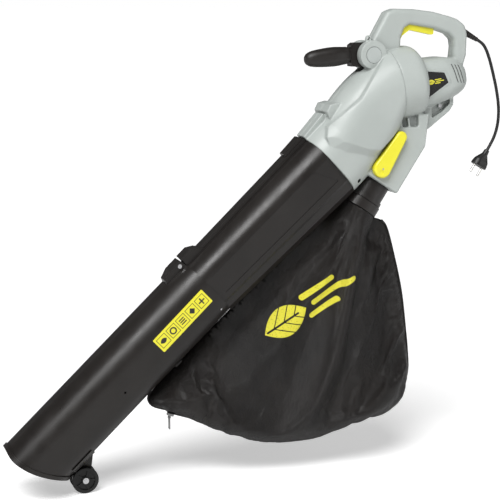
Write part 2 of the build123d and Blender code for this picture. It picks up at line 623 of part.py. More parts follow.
def make_cooling_fan():
    fan = rod(fan_plane(), 9, 58, 68) + rod(fan_plane(), 34, 66.5, 68)
    for k in range(10):
        vane = Pos(21, 0, 63) * Rot(0, 0, 20) * Box(24, 1.6, 8)
        fan += fan_plane() * Rot(0, 0, 36 * k) * vane
    return one_solid(fan - rod(fan_plane(), SHAFT_RADIUS, 50, 80))


def make_stator():
    return ring(fan_plane(), STATOR_RADIUS - 0.1, ARMATURE_RADIUS + 0.5, 80, 116)


def make_field_coils():
    coils = [one_solid(ring(fan_plane(), 30, 21, start, start + 7.5)) for start in (72.4, 116.1)]
    return group(coils)


def make_armature():
    core = rod(fan_plane(), ARMATURE_RADIUS, 81, 115)
    for k in range(12):
        slot = Pos(ARMATURE_RADIUS - 2, 0, 98) * Box(6, 1.6, 40)
        core -= fan_plane() * Rot(0, 0, 30 * k) * slot
    return one_solid(core - rod(fan_plane(), SHAFT_RADIUS, 70, 130))


def make_armature_windings():
    ends = [one_solid(ring(fan_plane(), 15, SHAFT_RADIUS, start, end))
            for start, end in ((73, 80.9), (115.1, 124))]
    return group(ends)


def make_commutator():
    body = ring(fan_plane(), COMMUTATOR_RADIUS, SHAFT_RADIUS, 126, 140)
    for k in range(24):
        body -= fan_plane() * Rot(0, 0, 15 * k) * Pos(COMMUTATOR_RADIUS, 0, 135) * Box(1.6, 0.6, 16)
    return one_solid(body)


def brush_place(side):
    return fan_plane() * Pos(side * 20, 0, 133)


def make_brush_holders():
    holders = [one_solid(brush_place(side) * (Box(14, 10, 9) - Box(20, 7, 6))) for side in (-1, 1)]
    return group(holders)


def make_carbon_brushes():
    brushes = [one_solid(brush_place(side) * Pos(side * -1, 0, 0) * Box(13.4, 6.9, 5.9))
               for side in (-1, 1)]
    face = rod(fan_plane(), COMMUTATOR_RADIUS + BRUSH_GAP, 100, 150)
    return group([one_solid(brush - face) for brush in brushes])


# ---------------------------------------------------------------- main handle


def make_trigger():
    body = side_slab(TRIGGER, TRIGGER_HALF_WIDTH, 1.5)
    body -= rod(Plane(origin=(SPRING_X, 0, -14.5)), 5, 0, 20)
    body -= rod(across(*TRIGGER_PIVOT), 2.05, -20, 20)
    return one_solid(body)


def make_trigger_pin():
    return rod(across(*TRIGGER_PIVOT), 2.0, -13.5, 13.5)


def make_trigger_spring():
    helix = Helix(pitch=3.1, height=15.5, radius=3.6)
    wire = sweep(Plane(origin=helix @ 0, z_dir=helix % 0) * Circle(0.5), path=helix, is_frenet=True)
    return one_solid(Pos(SPRING_X, 0, -13.2) * wire)


def make_switch():
    x, z = SWITCH
    return one_solid(Pos(x, 0, z) * Box(24, 15, 8) + Pos(x + 4, 0, z - 4.6) * Box(4, 6, 2.4))


def make_switch_contacts():
    x, z = SWITCH
    return group([Pos(x + 12.1 + 3, dy, z) * Box(6, 3, 0.8) for dy in (-4, 4)])


def make_strain_relief():
    plane = boot_plane()
    cone = plane * Cone(BOOT_RADIUS, CORD_RADIUS + 1.1, BOOT_LENGTH,
                        align=(Align.CENTER, Align.CENTER, Align.MIN))
    for k in range(5):
        along = 9 + 5.4 * k
        cone -= ring(plane, 12, 4.6 - 0.25 * k, along, along + 2.4)
    return one_solid(cone + rod(plane, BOOT_RADIUS, -12, 0) + rod(plane, BOOT_RADIUS + 2.4, -11, -6.5))


# ---------------------------------------------------------------- cord


def cord_radii():
    points = [Vector(*point) for point in CORD_ROUTE]
    radii = []
    for before, here, after in zip(points, points[1:], points[2:]):
        turn = radians((here - before).get_angle(after - here))
        shorter = min((here - before).length, (after - here).length)
        radii.append(0.45 * shorter / tan(turn / 2))
    return radii


def make_cord():
    path = FilletPolyline(*CORD_ROUTE, radius=cord_radii())
    start = Vector(*CORD_ROUTE[0])
    aim = (Vector(*CORD_ROUTE[1]) - start).normalized()
    tube = sweep(Plane(origin=start, z_dir=aim) * Circle(CORD_RADIUS), path=path)
    print("cord length", round(path.length, 1), "volume / (section x length)",
          round(tube.volume / (pi * CORD_RADIUS ** 2 * path.length), 4))
    print("cord radii", [round(radius) for radius in cord_radii()])
    return one_solid(tube)


def plug_plane():
    """Plane at the plug's cord end whose z points towards the pins; local x lies between them."""
    end, before = Vector(*CORD_ROUTE[-1]), Vector(*CORD_ROUTE[-2])
    aim = (end - before).normalized()
    return Plane(origin=end, x_dir=aim.cross(Vector(0, 1, 0)), z_dir=aim)




def make_plug_body():
    sections = [plug_plane() * Pos(0, 0, along) * RectangleRounded(wide, deep, radius)
                for along, wide, deep, radius in PLUG_ROWS]
    return one_solid(loft(sections, ruled=True))


def make_plug_pins():
    pins = []
    for side in (-1, 1):
        place = plug_plane() * Pos(side * PIN_SPACING / 2, 0, 38)
        pin = Cylinder(PIN_RADIUS, PIN_LENGTH, align=(Align.CENTER, Align.CENTER, Align.MIN))
        pin = fillet(pin.edges().filter_by(GeomType.CIRCLE).sort_by(Axis.Z)[-1], 1.6)
        pins.append(one_solid(place * pin))
    return group(pins)


# ---------------------------------------------------------------- front handle


def grip_plane(along):
    """Section plane along the front grip; local x is +Y."""
    lean = radians(GRIP_DROP)
    start = Vector(KNUCKLE_X, 0, KNUCKLE_Z + 3)
    aim = Vector(-cos(lean), 0, -sin(lean))
    return Plane(origin=start + aim * along, x_dir=(0, 1, 0), z_dir=aim)




def make_front_handle():
    hub = rod(across(KNUCKLE_X, KNUCKLE_Z), HUB_RADIUS, -HUB_HALF_WIDTH, HUB_HALF_WIDTH)
    block = [(KNUCKLE_X, KNUCKLE_Z + 24), (KNUCKLE_X - 33, KNUCKLE_Z + 24),
             (KNUCKLE_X - 40, KNUCKLE_Z + 19), (KNUCKLE_X - 39, KNUCKLE_Z - 23),
             (KNUCKLE_X, KNUCKLE_Z - 24)]
    hub += side_slab(block, HUB_HALF_WIDTH)
    hub += grip_plane(36) * extrude(RectangleRounded(22, 30, 9), amount=9.9)
    hub += rod(grip_plane(0), 8, 36, 118)
    return one_solid(hub - rod(across(KNUCKLE_X, KNUCKLE_Z), PIVOT_RADIUS + 0.05, -30, 30))


def make_front_grip():
    sections = [grip_plane(along) * RectangleRounded(wide, tall, radius)
                for along, wide, tall, radius in GRIP_ROWS]
    return one_solid(loft(sections) - rod(grip_plane(0), 8, 30, 118.1))


def make_pivot_bolt():
    at = across(KNUCKLE_X, KNUCKLE_Z)
    head = at * Pos(0, 0, 24.6) * extrude(RegularPolygon(PIVOT_NUT_ACROSS, 6), amount=5)
    return one_solid(rod(at, PIVOT_RADIUS, -28.5, 24.7) + head)


def make_pivot_nut():
    at = across(KNUCKLE_X, KNUCKLE_Z)
    nut = at * Pos(0, 0, -28.4) * extrude(RegularPolygon(PIVOT_NUT_ACROSS, 6), amount=5.8)
    return one_solid(nut - rod(at, PIVOT_RADIUS, -40, 40))


def make_pivot_caps():
    at = across(KNUCKLE_X, KNUCKLE_Z)
    return group([rod(at, CAP_RADIUS, -KNUCKLE_HALF_WIDTH - 0.2, -KNUCKLE_HALF_WIDTH + 2.6),
                  rod(at, CAP_RADIUS, KNUCKLE_HALF_WIDTH - 2.6, KNUCKLE_HALF_WIDTH + 0.2)])


# ---------------------------------------------------------------- mode lever and outlet flap
def make_mode_lever():
    body = lever_blank(0, LEVER_Y, LEVER_THICKNESS)
    front = body.faces().sort_by(Axis.Y)[0]
    body = fillet(front.edges(), 4.5)
    lean = Plane(origin=(LEVER_X, LEVER_Y - LEVER_THICKNESS, LEVER_Z),
                 x_dir=(cos(radians(LEVER_TILT)), 0, sin(radians(LEVER_TILT))), z_dir=(0, -1, 0))
    body -= lean * Pos(-8, 0, 0) * Cylinder(5, 3)
    return one_solid(body - rod(across(LEVER_X, LEVER_Z), 2.0, -70, 0))


def make_lever_shaft():
    at = across(LEVER_X, LEVER_Z)
    return one_solid(rod(at, 5.0, LEVER_Y, DUCT_HALF_WIDTH + 2) - rod(at, 2.0, -60, -30))


def make_outlet_flap():
    at = across(LEVER_X, LEVER_Z)
    lean = Plane(origin=(LEVER_X, 0, LEVER_Z), x_dir=(DUCT_COS, 0, DUCT_SIN), z_dir=(0, -1, 0))
    plate = lean * Pos(FLAP_LENGTH / 2 + 4, 0, 0) * Box(FLAP_LENGTH, 2.6, 62)
    return one_solid(plate + rod(at, 7.5, -31, 31) - rod(at, 5.0, -50, 50))


def make_lever_screw():
    at = across(LEVER_X, LEVER_Z, LEVER_Y)
    top = -LEVER_THICKNESS
    return one_solid(rod(at, 2.0, top + 0.2, 14) + rod(at, 4.0, top - 1.8, top))


# ---------------------------------------------------------------- spout and bag


def make_bag_spout():
    tube = ring(duct_plane(), SPOUT_RADIUS, SPOUT_RADIUS - 2.5, -13.5, SPOUT_END)
    tube += ring(duct_plane(), SPOUT_RADIUS + 2.6, SPOUT_RADIUS - 1, 33, 41)
    return one_solid(tube - tube_clearance())


def tube_clearance():
    """Room that the spout's bead and the bag's neck leave for the suction tube."""
    return upper_bar(TUBE_JOINT_S, TUBE_TOP_S, FIT) - rod(duct_plane(), SPOUT_RADIUS + 0.3, -14, 70)


def make_bag_collar():
    body = ring(duct_plane(), SPOUT_RADIUS + 4.5, SPOUT_RADIUS + 0.3, 43, BAG_START - 0.2)
    return one_solid(body - tube_clearance())


def make_bag():
    layers = []
    for side in (-1, 1):
        faces = [side_face(shrunk(BAG_OUTLINE, BAG_CENTRE, share),
                           plane=Plane(origin=(0, side * y, 0), x_dir=(1, 0, 0), z_dir=(0, -1, 0)))
                 for y, share in BAG_LAYERS]
        layers.append(loft(faces, ruled=True))
    bag = layers[0] + layers[1] + rod(duct_plane(), SPOUT_RADIUS + 4, BAG_START, BAG_START + 60)
    return one_solid(bag - rod(duct_plane(), 60, -60, BAG_START))


def zip_plane(along=0.0):
    """Plane on the underside of the zip: local x runs along it, local z points down and out."""
    slope = radians(ZIP_SLOPE)
    x, z = ZIP_START
    origin = (x + along * cos(slope), 0, z + along * sin(slope))
    return Plane(origin=origin, x_dir=(cos(slope), 0, sin(slope)), z_dir=(sin(slope), 0, -cos(slope)))


def make_zip():
    length = (Vector(*ZIP_END) - Vector(*ZIP_START)).length
    tape = zip_plane(length / 2) * Pos(0, 0, 2.0) * Box(length, 20, 1.2)
    teeth = zip_plane(length / 2) * Pos(0, 0, 3.1) * Box(length - 6, 4, 1.2)
    return one_solid(tape + teeth)


def make_zip_slider():
    body = zip_plane(8) * Pos(0, 0, 6.2) * (Box(13, 9, 4.2))
    eye = zip_plane(8) * Pos(0, 0, 9.6) * Box(4, 3, 3)
    x, z = pull_pivot()
    return one_solid(body + eye + rod(across(x, z), 3.2, -1.5, 1.5) - rod(across(x, z), 1.1, -5, 5))


def pull_pivot():
    origin = (zip_plane(8) * Pos(0, 0, 12.0)).position
    return origin.X, origin.Z


def make_zip_pull():
    x, z = pull_pivot()
    loop = rod(across(x, z), 1.0, -4, 4)
    for side in (-1, 1):
        loop += Pos(x, side * 3.6, z - 5) * Box(2, 1.8, 12)
    return one_solid(loop + Pos(x, 0, z - 17) * Box(2.0, 9, 14))


# ---------------------------------------------------------------- wheels, label, small parts


def make_wheel_bracket():
    web = side_slab(BRACKET, 5)
    web += rod(across(AXLE_X, AXLE_Z), 11, -5, 5)
    web -= lower_bar(MOUTH_S - 20, TUBE_JOINT_S, 0.06)
    web -= lower_bar(MOUTH_S - 20, -1138, 3.0)
    shoe = lower_bar(-1136, -1083, 2.4) - lower_bar(-1140, -1080, 0.06)
    zone = side_slab([(-1136, -104), (-1083, -104), (-1083, -140), (-1136, -140)], 60,
                     plane=tube_side_plane())
    return one_solid(web + (shoe & zone) - rod(across(AXLE_X, AXLE_Z), AXLE_RADIUS, -10, 10))


def make_wheel(side):
    at = across(AXLE_X, AXLE_Z)
    low, high = sorted((side * WHEEL_INSIDE, side * WHEEL_OUTSIDE))
    middle = (low + high) / 2
    rim = ring(at, WHEEL_RADIUS, 19.5, low, high)
    rim_edges = [e for e in rim.edges().filter_by(GeomType.CIRCLE) if abs(e.radius - WHEEL_RADIUS) < 0.01]
    wheel = fillet(rim_edges, 2.2)
    wheel += rod(at, 20, middle - 1.5, middle + 1.5)
    wheel += rod(at, 8, low, high)
    for k in range(SPOKES):
        wheel += at * Rot(0, 0, 360 / SPOKES * k) * Pos(13.5, 0, middle) * Box(13, 3.4, high - low - 2.4)
    return one_solid(wheel - rod(at, AXLE_RADIUS + 0.05, -40, 40))


def make_axle():
    at = across(AXLE_X, AXLE_Z)
    return rod(at, AXLE_RADIUS, -19.5, 19.5)


def make_axle_clips():
    at = across(AXLE_X, AXLE_Z)
    clips = [one_solid(ring(at, 6.0, AXLE_RADIUS, start, start + 1.6)) for start in (-18.6, 17.0)]
    return group(clips)


def make_label():
    skin = lower_bar(-851, -712.5, 0.5) - lower_bar(-852, -711, 0.08)
    zone = side_slab([(-850, -35.0), (-713, -34), (-713, -67.5), (-850, -68.5)], 80, 2, tube_side_plane())
    return one_solid(skin & zone & near_side_block())


def near_side_block():
    return Pos(-500, -100, -500) * Box(1400, 190, 1400)


def make_badges():
    plates = []
    for side in (-1, 1):
        face = side_face(BADGE, 1.2, Plane(origin=(0, side * (BADGE_Y + 0.3), 0), x_dir=(1, 0, 0),
                                           z_dir=(0, -1, 0)))
        plates.append(one_solid(extrude(face, amount=0.8, dir=(0, side, 0))))
    return group(plates)


def make_bag_hook():
    x, z = side_point(-842, -121)
    lean = Plane(origin=(x, 0, z), x_dir=(TUBE_COS, 0, TUBE_SIN), z_dir=(0, -1, 0))
    hook = lean * Pos(0, -1.6, 0) * Box(26, 3, 14) + lean * Pos(-9, -5, 0) * Box(5, 6, 10)
    hook += lean * Pos(-3, -7.2, 0) * Box(16, 2.4, 10)
    return one_solid(hook - lower_bar(-900, -800, 0.05))


def main():
    housing = make_housing()
    parts = {
        "lower_tube": make_lower_tube(),
        "upper_tube": make_upper_tube(),
        "tube_screws": make_tube_screws(),
        "housing_left": one_solid(housing & near_half()),
        "housing_right": one_solid(housing & far_half()),
        "housing_screws": make_housing_screws(),
        "motor_shaft": make_motor_shaft(),
        "impeller": make_impeller(),
        "shredder_blade": make_shredder_blade(),
        "impeller_nut": make_impeller_nut(),
        "front_bearing": make_bearing(CHAMBER_LENGTH - 0.5),
        "rear_bearing": make_bearing(145),
        "cooling_fan": make_cooling_fan(),
        "stator": make_stator(),
        "field_coils": make_field_coils(),
        "armature_core": make_armature(),
        "armature_windings": make_armature_windings(),
        "commutator": make_commutator(),
        "brush_holders": make_brush_holders(),
        "carbon_brushes": make_carbon_brushes(),
        "trigger": make_trigger(),
        "trigger_pin": make_trigger_pin(),
        "trigger_spring": make_trigger_spring(),
        "switch_body": make_switch(),
        "switch_contacts": make_switch_contacts(),
        "strain_relief": make_strain_relief(),
        "cord": make_cord(),
        "plug_body": make_plug_body(),
        "plug_pins": make_plug_pins(),
        "front_handle": make_front_handle(),
        "front_grip": make_front_grip(),
        "pivot_bolt": make_pivot_bolt(),
        "pivot_nut": make_pivot_nut(),
        "pivot_caps": make_pivot_caps(),
        "mode_lever": make_mode_lever(),
        "lever_shaft": make_lever_shaft(),
        "lever_screw": make_lever_screw(),
        "outlet_flap": make_outlet_flap(),
        "bag_spout": make_bag_spout(),
        "bag_collar": make_bag_collar(),
        "bag": make_bag(),
        "zip_tape": make_zip(),
        "zip_slider": make_zip_slider(),
        "zip_pull": make_zip_pull(),
        "wheel_bracket": make_wheel_bracket(),
        "wheel_left": make_wheel(-1),
        "wheel_right": make_wheel(1),
        "axle": make_axle(),
        "axle_clips": make_axle_clips(),
        "label": make_label(),
        "badges": make_badges(),
        "bag_hook": make_bag_hook(),
    }
    for name, shape in parts.items():
        save(name, shape)


if __name__ == "__main__":
    main()
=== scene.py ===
"""Looks of the leaf vacuum mulcher: materials, moulded shells, fabric bag, cord, floor and light.

Row frame, in metres: the origin is the centre of the hand on the main grip, +X runs from the
nozzle towards the cord, +Z is up, and the near side, which carries the mode lever, is -Y.
"""
import json
import math
import bmesh
import bpy
import numpy as np
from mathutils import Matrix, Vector
from mathutils.geometry import delaunay_2d_cdt

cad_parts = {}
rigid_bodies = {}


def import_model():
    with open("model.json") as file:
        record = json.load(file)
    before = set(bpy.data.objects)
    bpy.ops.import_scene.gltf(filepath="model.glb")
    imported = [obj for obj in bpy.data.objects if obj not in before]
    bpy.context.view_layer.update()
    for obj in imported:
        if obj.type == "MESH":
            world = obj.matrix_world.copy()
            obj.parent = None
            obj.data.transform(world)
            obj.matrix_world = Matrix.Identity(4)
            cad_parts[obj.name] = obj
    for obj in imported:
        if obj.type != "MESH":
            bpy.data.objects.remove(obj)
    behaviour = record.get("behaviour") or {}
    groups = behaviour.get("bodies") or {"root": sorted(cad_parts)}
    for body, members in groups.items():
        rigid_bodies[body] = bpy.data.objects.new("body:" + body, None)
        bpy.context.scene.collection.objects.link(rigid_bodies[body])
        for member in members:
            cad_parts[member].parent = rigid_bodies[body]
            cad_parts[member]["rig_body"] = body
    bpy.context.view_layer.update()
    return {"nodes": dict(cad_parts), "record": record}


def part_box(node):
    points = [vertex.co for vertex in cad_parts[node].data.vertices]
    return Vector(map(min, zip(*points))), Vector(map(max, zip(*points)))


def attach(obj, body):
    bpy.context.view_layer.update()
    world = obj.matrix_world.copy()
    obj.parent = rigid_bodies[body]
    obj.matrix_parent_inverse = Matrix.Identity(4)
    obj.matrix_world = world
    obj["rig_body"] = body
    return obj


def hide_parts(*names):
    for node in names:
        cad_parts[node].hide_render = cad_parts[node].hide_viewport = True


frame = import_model()

# ---------------------------------------------------------------- camera
CAMERA_TARGET = Vector((-0.3734, 0.0, -0.4545))
CAMERA_AZIMUTH, CAMERA_ELEVATION = math.radians(19), math.radians(10)
CAMERA_DISTANCE, CAMERA_LENS, CAMERA_SENSOR, CAMERA_REACH = 2.8, 100.8, 36, 1000
FLOOR_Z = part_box("wheel_left")[0].z


def add_camera():
    look = Vector((math.sin(CAMERA_AZIMUTH) * math.cos(CAMERA_ELEVATION),
                   math.cos(CAMERA_AZIMUTH) * math.cos(CAMERA_ELEVATION),
                   -math.sin(CAMERA_ELEVATION)))
    data = bpy.data.cameras.new("camera")
    data.lens, data.sensor_width, data.clip_end = CAMERA_LENS, CAMERA_SENSOR, CAMERA_REACH
    camera = bpy.data.objects.new("camera", data)
    camera.location = CAMERA_TARGET - look * CAMERA_DISTANCE
    camera.rotation_euler = look.to_track_quat("-Z", "Y").to_euler()
    bpy.context.scene.collection.objects.link(camera)
    bpy.context.scene.camera = camera


add_camera()


# ---------------------------------------------------------------- node helpers
PRINT_SOFTNESS = 0.0003
RIB_SLOPE, RIB_PLACES = 0.9, (0.32, 0.52, 0.72)   # the leaf's side veins, as shares of its size


class Nodes:
    """Short names for building a procedural material."""

    def __init__(self, name):
        self.material = bpy.data.materials.new(name)
        self.material.use_nodes = True
        self.tree = self.material.node_tree
        self.shader = self.tree.nodes["Principled BSDF"]

    def add(self, kind, **values):
        node = self.tree.nodes.new(kind)
        for key, value in values.items():
            setattr(node, key, value)
        return node

    def feed(self, socket, value):
        if hasattr(value, "links"):
            self.tree.links.new(value, socket)
        else:
            socket.default_value = value

    def math(self, operation, first, second=0.0):
        node = self.add("ShaderNodeMath", operation=operation)
        self.feed(node.inputs[0], first)
        self.feed(node.inputs[1], second)
        return node.outputs[0]

    def place(self, scale=(1, 1, 1), turn=(0, 0, 0)):
        """Object coordinates, turned and scaled."""
        source = self.add("ShaderNodeTexCoord")
        mapping = self.add("ShaderNodeMapping")
        self.feed(mapping.inputs["Vector"], source.outputs["Object"])
        mapping.inputs["Rotation"].default_value = turn
        mapping.inputs["Scale"].default_value = scale
        return mapping.outputs[0]

    def noise(self, scale, detail=3.0, rough=0.5, place=None):
        node = self.add("ShaderNodeTexNoise")
        self.feed(node.inputs["Vector"], place or self.place())
        node.inputs["Scale"].default_value = scale
        node.inputs["Detail"].default_value = detail
        node.inputs["Roughness"].default_value = rough
        return node.outputs["Fac"]

    def ramp(self, value, low, high, low_at=0.0, high_at=1.0):
        """Value from low to high as the input goes from low_at to high_at."""
        node = self.add("ShaderNodeMapRange")
        for key, number in (("From Min", low_at), ("From Max", high_at), ("To Min", low), ("To Max", high)):
            node.inputs[key].default_value = number
        self.feed(node.inputs["Value"], value)
        return node.outputs[0]

    def mix(self, share, first, second):
        node = self.add("ShaderNodeMix", data_type="RGBA")
        self.feed(node.inputs["Factor"], share)
        for key, colour in (("A", first), ("B", second)):
            socket = [s for s in node.inputs if s.name == key and s.type == "RGBA"][0]
            self.feed(socket, (*colour, 1) if isinstance(colour, tuple) else colour)
        return [s for s in node.outputs if s.type == "RGBA"][0]

    def flat(self, centre, along, over):
        """Distances along two directions from a centre, in object space, as two outputs."""
        source = self.add("ShaderNodeTexCoord")
        offset = self.add("ShaderNodeVectorMath", operation="SUBTRACT")
        self.feed(offset.inputs[0], source.outputs["Object"])
        offset.inputs[1].default_value = centre
        reach = []
        for direction in (along, over):
            node = self.add("ShaderNodeVectorMath", operation="DOT_PRODUCT")
            self.feed(node.inputs[0], offset.outputs[0])
            node.inputs[1].default_value = direction
            reach.append(node.outputs["Value"])
        return reach

    def inside(self, depth):
        """1 where the depth is positive, with a soft edge."""
        return self.ramp(depth, 0.0, 1.0, -PRINT_SOFTNESS, PRINT_SOFTNESS)

    def length(self, a, b):
        """Distance from the origin of a point at (a, b)."""
        return self.math("SQRT", self.math("ADD", self.math("MULTIPLY", a, a), self.math("MULTIPLY", b, b)))

    def bar(self, a, b, middle, half_length, half_width):
        """Round-ended bar along a, centred on middle = (a, b)."""
        beyond = self.math("SUBTRACT", self.math("ABSOLUTE", self.math("SUBTRACT", a, middle[0])),
                           half_length)
        beyond = self.math("MAXIMUM", beyond, 0.0)
        side = self.math("SUBTRACT", b, middle[1])
        return self.inside(self.math("SUBTRACT", half_width, self.length(beyond, side)))

    def leaf(self, a, b, middle, half_length, half_width):
        """Pointed leaf along a."""
        share = self.math("DIVIDE", self.math("SUBTRACT", a, middle[0]), half_length)
        width = self.math("MULTIPLY", self.math("SUBTRACT", 1.0, self.math("MULTIPLY", share, share)),
                          half_width)
        side = self.math("ABSOLUTE", self.math("SUBTRACT", b, middle[1]))
        return self.inside(self.math("SUBTRACT", width, side))

    def either(self, *masks):
        joined = masks[0]
        for mask in masks[1:]:
            joined = self.math("MAXIMUM", joined, mask)
        return joined

    def without(self, mask, hole):
        return self.math("MULTIPLY", mask, self.math("SUBTRACT", 1.0, hole))

    def breeze_mark(self, a, b, size):
        """A veined leaf with three bars of moving air behind it, about 2 x size long."""
        whole = self.leaf(a, b, (-0.54 * size, 0.0), 0.46 * size, 0.27 * size)
        vein = self.bar(a, b, (-0.60 * size, 0.0), 0.34 * size, 0.018 * size)
        leaf = self.without(whole, vein)
        lean = self.math("SUBTRACT", self.math("ABSOLUTE", b), self.math("MULTIPLY", a, RIB_SLOPE))
        for share in RIB_PLACES:
            away = self.math("ABSOLUTE", self.math("SUBTRACT", lean, share * size))
            leaf = self.without(leaf, self.inside(self.math("SUBTRACT", 0.012 * size, away)))
        return self.either(leaf,
                           self.bar(a, b, (0.30 * size, 0.19 * size), 0.34 * size, 0.05 * size),
                           self.bar(a, b, (0.52 * size, 0.0), 0.42 * size, 0.05 * size),
                           self.bar(a, b, (0.22 * size, -0.19 * size), 0.28 * size, 0.05 * size))

    def bump(self, height, strength, distance):
        node = self.add("ShaderNodeBump")
        node.inputs["Strength"].default_value = strength
        node.inputs["Distance"].default_value = distance
        self.feed(node.inputs["Height"], height)
        self.feed(self.shader.inputs["Normal"], node.outputs["Normal"])

    def finish(self, colour, roughness, **fixed):
        """Sets the shader; the fixed values are uniform, with _ for a space in the socket's name."""
        self.feed(self.shader.inputs["Base Color"], (*colour, 1) if isinstance(colour, tuple) else colour)
        self.feed(self.shader.inputs["Roughness"], roughness)
        for key, value in fixed.items():
            self.shader.inputs[key.replace("_", " ")].default_value = value
        return self.material


SPARK_GRAIN, SPARK_DEPTH = 900.0, 0.00004
# reach of the ambient-occlusion node that paints shade into grooves
CREVICE_SHADE_REACH = 0.022
VENT_CENTRE, VENT_HALF_LENGTH, VENT_HALF_WIDTH = (0.0590, 0.0, -0.1090), 0.0195, 0.0010
VENT_ALONG, VENT_ACROSS = (0.4008, 0.0, -0.9162), (0.9162, 0.0, 0.4008)
VENT_STEP = (0.0045, 0.0079)
# near-black colour painted into the rear vent slots: painted shade standing in for their depth
VENT_SHADE_COLOUR = (0.012, 0.012, 0.012)


def moulded(name, dark, light, rough, specular=0.5, crevice_shade=None):
    """Injection-moulded plastic: fine spark texture, faint flow marks and handling smears.

    The last argument, where given, sets painted shade: the share of the colour left deep in the housing's
    grooves by an ambient-occlusion node, and the rear vents are painted dark as painted shade too.
    """
    n = Nodes(name)
    flow = n.noise(9.0, 4.0, 0.6)
    smear = n.noise(38.0, 3.0, 0.55, n.place(scale=(1, 1, 0.35)))
    colour = n.mix(n.ramp(flow, 0, 1, 0.3, 0.7), dark, light)
    if crevice_shade:
        # painted shade: the colour darkens where the ambient-occlusion node finds grooves and recesses
        shade = n.add("ShaderNodeAmbientOcclusion", samples=8)
        shade.inputs["Distance"].default_value = CREVICE_SHADE_REACH
        crevice_shade_colour = tuple(crevice_shade * value for value in dark)
        colour = n.mix(n.ramp(shade.outputs["AO"], 0, 1, 0.15, 0.85), crevice_shade_colour, colour)
        # painted shade: the three rear vent slots are painted near-black
        a, b = n.flat(VENT_CENTRE, VENT_ALONG, VENT_ACROSS)
        vent_shade_mask = n.either(*[n.bar(a, b, (k * VENT_STEP[0], k * VENT_STEP[1]), VENT_HALF_LENGTH,
                                 VENT_HALF_WIDTH) for k in (-1, 0, 1)])
        colour = n.mix(vent_shade_mask, colour, VENT_SHADE_COLOUR)
    roughness = n.ramp(smear, rough - 0.06, rough + 0.08, 0.25, 0.75)
    n.bump(n.noise(SPARK_GRAIN, 2.0, 0.6), 0.35, SPARK_DEPTH)
    return n.finish(colour, roughness, Specular_IOR_Level=specular)


def metal(name, dark, light, rough, grain=(40, 40, 900)):
    """Machined or plated metal with fine directional marks."""
    n = Nodes(name)
    marks = n.noise(3.0, 4.0, 0.6, n.place(scale=grain))
    tone = n.noise(60.0, 3.0)
    colour = n.mix(tone, dark, light)
    n.bump(marks, 0.2, 0.00003)
    return n.finish(colour, n.ramp(marks, rough - 0.07, rough + 0.1, 0.3, 0.7), Metallic=1.0)


def soft_rubber(name, dark, light, rough, grain=700.0):
    n = Nodes(name)
    colour = n.mix(n.noise(25.0, 4.0), dark, light)
    n.bump(n.noise(grain, 2.0), 0.4, 0.00008)
    return n.finish(colour, n.ramp(n.noise(60.0), rough - 0.06, rough + 0.08, 0.3, 0.7))


PRINT_YELLOW, PRINT_BLACK = (0.78, 0.72, 0.050), (0.02, 0.02, 0.02)
WEAVE_SCALE, WEAVE_SHARE, CRINKLE_DEPTH = 420.0, 0.02, 0.012
EMBLEM_CENTRE = (-0.2595, 0.0, -0.5677)
EMBLEM_ALONG, EMBLEM_UP = (0.850, 0.0, 0.527), (-0.527, 0.0, 0.850)
EMBLEM_HALF_LENGTH = 0.108
TUBE_ALONG, TUBE_UP = (0.72537, 0.0, 0.68835), (-0.68835, 0.0, 0.72537)
LABEL_FROM, LABEL_PITCH, LABEL_T = -0.8345, 0.0265, -0.0510
LABEL_SIGNS = ("leaf", "ring", "bars", "diamond", "cross")
CELL_OUTSIDE, CELL_INSIDE = 0.0112, 0.0101
BADGE_CENTRE, BADGE_MARK = (0.004, 0.0, -0.1235), 0.0190
BADGE_ALONG, BADGE_UP = (0.990, 0.0, 0.139), (-0.139, 0.0, 0.990)


def bag_fabric():
    """Coated black nylon: fine weave, small crinkles, worn sheen, and a yellow print."""
    n = Nodes("bag_fabric")
    a, b = n.flat(EMBLEM_CENTRE, EMBLEM_ALONG, EMBLEM_UP)
    mark = n.breeze_mark(a, b, EMBLEM_HALF_LENGTH)
    parts = n.add("ShaderNodeSeparateXYZ")
    n.feed(parts.inputs[0], n.place())
    near = n.ramp(parts.outputs["Y"], 1.0, 0.0, -0.006, -0.004)
    flecks = n.ramp(n.noise(420.0, 3.0, 0.7), 0.0, 1.0, 0.30, 0.40)
    mark = n.math("MULTIPLY", n.math("MULTIPLY", mark, near), flecks)
    cloth = n.mix(n.ramp(n.noise(7.0, 5.0, 0.65), 0, 1, 0.35, 0.65), (0.0034, 0.0024, 0.0021),
                  (0.0110, 0.0086, 0.0074))
    colour = n.mix(mark, cloth, PRINT_YELLOW)
    crinkle = n.noise(16.0, 6.0, 0.62, n.place(scale=(1.25, 1.0, 0.7), turn=(0, 0.35, 0)))
    weave = n.add("ShaderNodeTexWave", wave_type="BANDS", bands_direction="DIAGONAL")
    weave.inputs["Scale"].default_value = WEAVE_SCALE
    height = n.math("ADD", crinkle, n.math("MULTIPLY", weave.outputs["Fac"], WEAVE_SHARE))
    n.bump(height, 0.7, CRINKLE_DEPTH)
    roughness = n.ramp(n.noise(22.0, 4.0, 0.6), 0.30, 0.44, 0.3, 0.7)
    return n.finish(colour, roughness, Specular_IOR_Level=0.38, Sheen_Weight=0.03, Sheen_Roughness=0.4)


